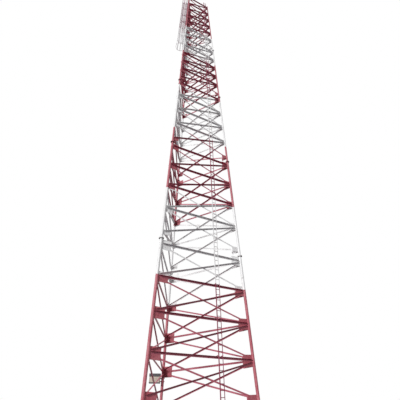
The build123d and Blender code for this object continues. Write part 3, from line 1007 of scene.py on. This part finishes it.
class MAST_OT_cage(Operator):
    """Bend the smooth hoops and straps of the ladder cage and bolt them together"""

    bl_idname = "mast.cage"
    bl_label = "Cage"

    def execute(self, context):
        mast, sizes = Mast(context.scene), context.scene.mast_ladders
        ladder = ladders(mast, sizes)["caged_ladder"]
        top = ladder.length - sizes.hoop_height
        levels = np.append(np.arange(1, int(top / sizes.hoop_pitch) + 1) * sizes.hoop_pitch, top)
        wide = place(self.hoop(sizes, sizes.flare_radius), ladder.origin, ladder.axes)
        spots = ladder.points(0, levels, 0)
        hoops = join(wide, place(self.hoop(sizes, sizes.hoop_radius), spots, ladder.axes))
        # Hoops and straps take the darker cage coat, which is painted shade
        add_piece("cage_round_hoops", hoops, "cage_shaded_coat", ["cage_hoops"])
        straps, bolts = self.straps(ladder, sizes, levels)
        add_piece("cage_flared_straps", straps, "cage_shaded_coat", ["cage_straps"])
        add_piece("cage_bolts", bolts, "fixing_paint")
        return {"FINISHED"}

    def middle(self, sizes):
        """Distance of the cage's middle from the backs of the rails."""
        return sizes.rail_size + sizes.cage_depth

    def hoop(self, sizes, radius):
        """A flat bar carried round the cage from rail to rail: a lug, a straight run, a wide arc,
        and the same again mirrored. The bar stands on edge, square to its path."""
        thick, tall = sizes.hoop_thickness, sizes.hoop_height
        half, seat = thick / 2, sizes.rail_size + thick / 2
        edge = sizes.width / 2 - half
        lug_start, lug_stop, stops = 0.034, 0.004, 73
        angles = np.radians(np.linspace(*CAGE_ARC, stops))
        bend = radius - half
        arc = np.stack([bend * np.cos(angles), self.middle(sizes) + bend * np.sin(angles)], -1)
        lug = np.array([(edge - lug_start, seat), (edge - lug_stop, seat)])
        path = np.concatenate([lug, arc, lug[::-1] * (-1, 1)])
        run = np.gradient(path, axis=0)
        run /= np.linalg.norm(run, axis=1)[:, None]
        flat, across = np.zeros((2, len(path), 3))
        flat[:, 0], flat[:, 2] = path.T
        across[:, 0], across[:, 2] = run[:, 1], -run[:, 0]
        section = ((-half, 0), (half, 0), (half, tall), (-half, tall))
        return sweep(section, flat, across, np.array([0, 1.0, 0]))

    def straps(self, ladder, sizes, levels):
        """Straps up the inside of the hoops, eased out to the wide hoop by the smooth step
        s * s * (3 - 2 * s), and a bolt at each hoop."""
        thick, half, thread, stops = sizes.strap_thickness, sizes.strap_width / 2, 0.01, 14
        section = ((-half, -thick), (half, -thick), (half, 0), (-half, 0))
        fixing = bolt(thread, sizes.hoop_thickness, -thick)
        narrow, wide = (r - sizes.hoop_thickness for r in (sizes.hoop_radius, sizes.flare_radius))
        run = np.append(np.linspace(0, sizes.hoop_pitch, stops), ladder.length)
        share = np.clip((run - sizes.hoop_height) / (sizes.hoop_pitch - sizes.hoop_height), 0, 1)
        reach = wide + (narrow - wide) * share * share * (3 - 2 * share)
        heights = np.append(0, levels) + sizes.hoop_height / 2
        low, high = CAGE_ARC
        flats = np.arange(0, CAGE_FLATS, 2) + 0.5
        straps, bolts = [], []
        for angle in np.radians(low + flats * (high - low) / CAGE_FLATS):
            outward = np.array([cos(angle), 0, sin(angle)])
            sideways = np.array([-sin(angle), 0, cos(angle)])
            path = self.line(sizes, outward, reach, run)
            straps.append(sweep(section, path, sideways, outward))
            spots = self.line(sizes, outward, np.interp(heights, run, reach), heights)
            axes = np.stack([sideways, np.cross(outward, sideways), outward])
            bolts.append(place(fixing, spots, axes))
        return tuple(place(join(*shapes), ladder.origin, ladder.axes) for shapes in (straps, bolts))

    def line(self, sizes, outward, reach, heights):
        """Points at distances from the cage's middle in one direction, and at heights."""
        points = reach[:, None] * outward
        points[:, 1] += heights
        points[:, 2] += self.middle(sizes)
        return points


class CabinetCover:
    """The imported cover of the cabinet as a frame: X out of it, Y up it and Z across it."""

    def __init__(self, mast):
        self.axes = mast.face_axes(2)
        origin = mast.face_points(2, 0, 0, 0)[0]
        mesh = frame["nodes"]["cabinet_cover"].data
        points = np.empty(len(mesh.vertices) * 3, np.float32)
        mesh.vertices.foreach_get("co", points)
        local = (points.reshape(-1, 3) - origin) @ self.axes.T
        low, high = local.min(0), local.max(0)
        _, self.tall, self.wide = high - low
        self.corner = origin + np.array([high[0], low[1], low[2]]) @ self.axes

    def spot(self, up, across, proud=0.0):
        """A point up and across from the cover's lower corner, standing proud of its face."""
        return self.corner + np.array([proud, up, across]) @ self.axes


class MAST_OT_cabinet(Operator):
    """Add the panel, louvres, hinges, latch and clamps of the cabinet"""

    bl_idname = "mast.cabinet"
    bl_label = "Cabinet"

    def execute(self, context):
        mast = Mast(context.scene)
        cover = CabinetCover(mast)
        add_piece("cabinet_cover_panel", self.panel(cover), "cabinet_coat")
        add_piece("cabinet_louvres", self.louvres(cover), "cabinet_coat")
        fittings = join(self.hinges(cover), self.latch(cover))
        add_piece("cabinet_hinges_latch", fittings, "zinc_coat")
        add_piece("cabinet_arm_clamps", self.clamps(mast), "leg_paint")
        return {"FINISHED"}

    def panel(self, cover):
        """A raised plate, a little smaller than the cover."""
        border, thick, chamfer, proud = 0.05, 0.004, 0.0018, 0.001
        out, up, across = cover.axes
        shape = plate(cover.wide - border, cover.tall - border, thick, chamfer)
        spot = cover.spot(cover.tall / 2, cover.wide / 2, proud)
        return place(shape, spot, np.stack([-across, up, out]))

    def louvres(self, cover):
        """Slats low on the cover, each a hooded profile carried straight across it."""
        count, first, pitch, margin, proud = 6, 0.08, 0.026, 0.14, 0.002
        hood = ((0, 0), (0.009, 0.002), (0.007, 0.012), (0, 0.02))
        out, up, _ = cover.axes
        slats = []
        for level in first + pitch * np.arange(count):
            ends = [cover.spot(level, side, proud) for side in (margin, cover.wide - margin)]
            slats.append(sweep(hood, np.stack(ends), out, up))
        return join(*slats)

    def hinges(self, cover):
        """Two upright knuckles near the cover's edge."""
        radius, half, edge, inset = 0.008, 0.045, 0.002, 0.012
        knuckle = rod(radius, half, edge)
        levels = (0.18 * cover.tall, 0.82 * cover.tall)
        spots = [cover.spot(level, cover.wide - inset, radius - edge) for level in levels]
        out, up, across = cover.axes
        return place(knuckle, np.stack(spots), np.stack([out, -across, up]))

    def latch(self, cover):
        """A turned boss near the cover's other edge, with a flat handle on it."""
        inset, proud = 0.06, 0.022
        boss = ((0.026, 0), (0.026, 0.006), (0.016, 0.012), (0.016, proud), (0.012, 0.024))
        out, up, across = cover.axes
        axes = np.stack([up, across, out])
        knob = place(lathe(boss, 20), cover.spot(0.5 * cover.tall, inset), axes)
        handle = plate(0.11, 0.018, 0.01, 0.003)
        return join(knob, place(handle, cover.spot(0.46 * cover.tall, inset, proud), axes))

    def clamps(self, mast):
        """A band round the leg at each arm, with two ears that a bolt draws together."""
        low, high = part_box("cabinet_arms")
        inset, half, thick, gap, thread, shift = 0.025, 0.02, 0.006, 0.008, 0.012, 0.004
        radius = mast.steel.leg_diameters[1] / 2
        axes = mast.leg_axes(0)
        levels = np.array([low.z + inset, high.z - inset]) * mast.leg_stretch
        spots = mast.feet[0] + levels[:, None] * axes[2]
        ring = ((radius, -half), (radius + thick, -half), (radius + thick, half), (radius, half))
        bands = place(lathe(ring, PIPE_SIDES, closed=True), spots, axes)
        along, _, out = mast.face_axes(2)
        square = np.stack([out, np.cross(along, out), along])
        ends = spots - out * (radius + half)
        ear = plate(0.034, 0.036, thick, 0.001)
        ears = [place(ear, ends + along * side, square) for side in (-gap, gap)]
        seat = gap + thick / 2
        return join(bands, *ears, place(bolt(thread, seat, -seat), ends - out * shift, square))


class MAST_OT_stage(Operator):
    """Set up the camera, the light and the floor"""

    bl_idname = "mast.stage"
    bl_label = "Stage"

    def execute(self, context):
        stage = context.scene.mast_stage
        context.scene.view_settings.view_transform = "Standard"
        context.scene.camera = self.camera(context, stage)
        self.key_light(context, stage)
        context.scene.world = self.world(stage)
        self.floor(context, stage)
        return {"FINISHED"}

    def camera(self, context, stage):
        """A camera turned by its heading, tilted by its pitch and rolled about its view."""
        data = bpy.data.cameras.new("mast_camera")
        data.lens, data.sensor_width = stage.lens, 36.0
        data.shift_x = stage.frame_shift
        data.clip_end = 5 * stage.floor_radius
        heading, pitch, roll = stage.camera_heading, stage.camera_pitch, stage.camera_roll
        view = np.array([sin(heading) * cos(pitch), cos(heading) * cos(pitch), sin(pitch)])
        level = np.array([cos(heading), -sin(heading), 0])
        above = np.cross(level, view)
        right = cos(roll) * level + sin(roll) * above
        up = cos(roll) * above - sin(roll) * level
        matrix = np.eye(4)
        matrix[:3] = np.column_stack([right, up, -view, stage.camera_place])
        camera = bpy.data.objects.new("mast_camera", data)
        context.scene.collection.objects.link(camera)
        camera.matrix_world = Matrix(matrix.tolist())
        return camera

    def key_light(self, context, stage):
        """A broad, soft key light from the camera's side."""
        data = bpy.data.lights.new("key_light", "SUN")
        data.energy, data.angle = stage.key_strength, stage.key_softness
        light = bpy.data.objects.new("key_light", data)
        context.scene.collection.objects.link(light)
        light.rotation_euler = (pi / 2 - stage.key_elevation, 0, -stage.key_heading)

    def world(self, stage):
        """White to the eye and in reflections, and else a soft light that fades to the ground."""
        world = bpy.data.worlds.new("mast_world")
        sheet = Sheet(world)
        seen = sheet.seen()
        direction = sheet.node("ShaderNodeTexCoord", output="Generated")
        rise = sheet.node("ShaderNodeSeparateXYZ", None, {"Vector": direction}, "Z")
        soft = (rise * 3.0 + 0.5).clamp() * stage.sky_strength
        links = {"Color": (1.0, 1.0, 1.0, 1.0), "Strength": seen + (1 - seen) * soft}
        shader = sheet.node("ShaderNodeBackground", None, links)
        sheet.node("ShaderNodeOutputWorld", None, {"Surface": shader})
        return world

    def floor(self, context, stage):
        """A wide pale disc that keeps the mast's shadow and throws little light back up."""
        bottom, top = -0.02, -0.001
        points, faces = lathe(((stage.floor_radius, bottom), (stage.floor_radius, top)), 96)
        mesh = bpy.data.meshes.new("floor")
        mesh.from_pydata(points.tolist(), [], [face.tolist() for group in faces for face in group])
        floor = bpy.data.objects.new("floor", mesh)
        context.scene.collection.objects.link(floor)
        sheet, spot = surface("floor_screed")
        cloud = sheet.noise(spot, 0.15, 4.0)
        pale = sheet.mix(cloud, stage.floor_pale, stage.floor_cloud)
        colour = sheet.mix(sheet.seen(), stage.floor_bounce, pale)
        finish_surface(sheet, colour, 0.8 + cloud * 0.1, cloud, 0.002)
        mesh.materials.append(sheet.owner)


class MAST_PT_tools(Panel):
    """Lists the mast's operators and settings"""

    bl_idname = "MAST_PT_tools"
    bl_label = "Lattice mast"
    bl_space_type = "VIEW_3D"
    bl_region_type = "UI"
    bl_category = "Mast"

    def draw(self, context):
        layout = self.layout
        for operator in OPERATORS:
            layout.operator(operator.bl_idname)
        for group in GROUPS:
            settings = getattr(context.scene, group)
            box = layout.box()
            box.label(text=group.replace("_", " ").capitalize())
            for name in settings.__annotations__:
                box.prop(settings, name)


GROUPS = {
    "mast_outline": MastOutline,
    "mast_steel": MastSteel,
    "mast_ladders": MastLadders,
    "mast_finish": MastFinish,
    "mast_stage": MastStage,
}
OPERATORS = (
    MAST_OT_stage,
    MAST_OT_paint,
    MAST_OT_legs,
    MAST_OT_leg_fixings,
    MAST_OT_bracing_bolts,
    MAST_OT_ladder_fittings,
    MAST_OT_cage,
    MAST_OT_cabinet,
)


def register():
    for cls in (*GROUPS.values(), *OPERATORS, MAST_PT_tools):
        bpy.utils.register_class(cls)
    for name, group in GROUPS.items():
        setattr(bpy.types.Scene, name, PointerProperty(type=group))


def unregister():
    for name in GROUPS:
        delattr(bpy.types.Scene, name)
    for cls in reversed((*GROUPS.values(), *OPERATORS, MAST_PT_tools)):
        bpy.utils.unregister_class(cls)


def main():
    register()
    bpy.ops.mast.stage()
    bpy.ops.mast.paint()
    bpy.ops.mast.legs()
    bpy.ops.mast.leg_fixings()
    bpy.ops.mast.bracing_bolts()
    bpy.ops.mast.ladder_fittings()
    bpy.ops.mast.cage()
    bpy.ops.mast.cabinet()


if __name__ == "__main__":
    main()
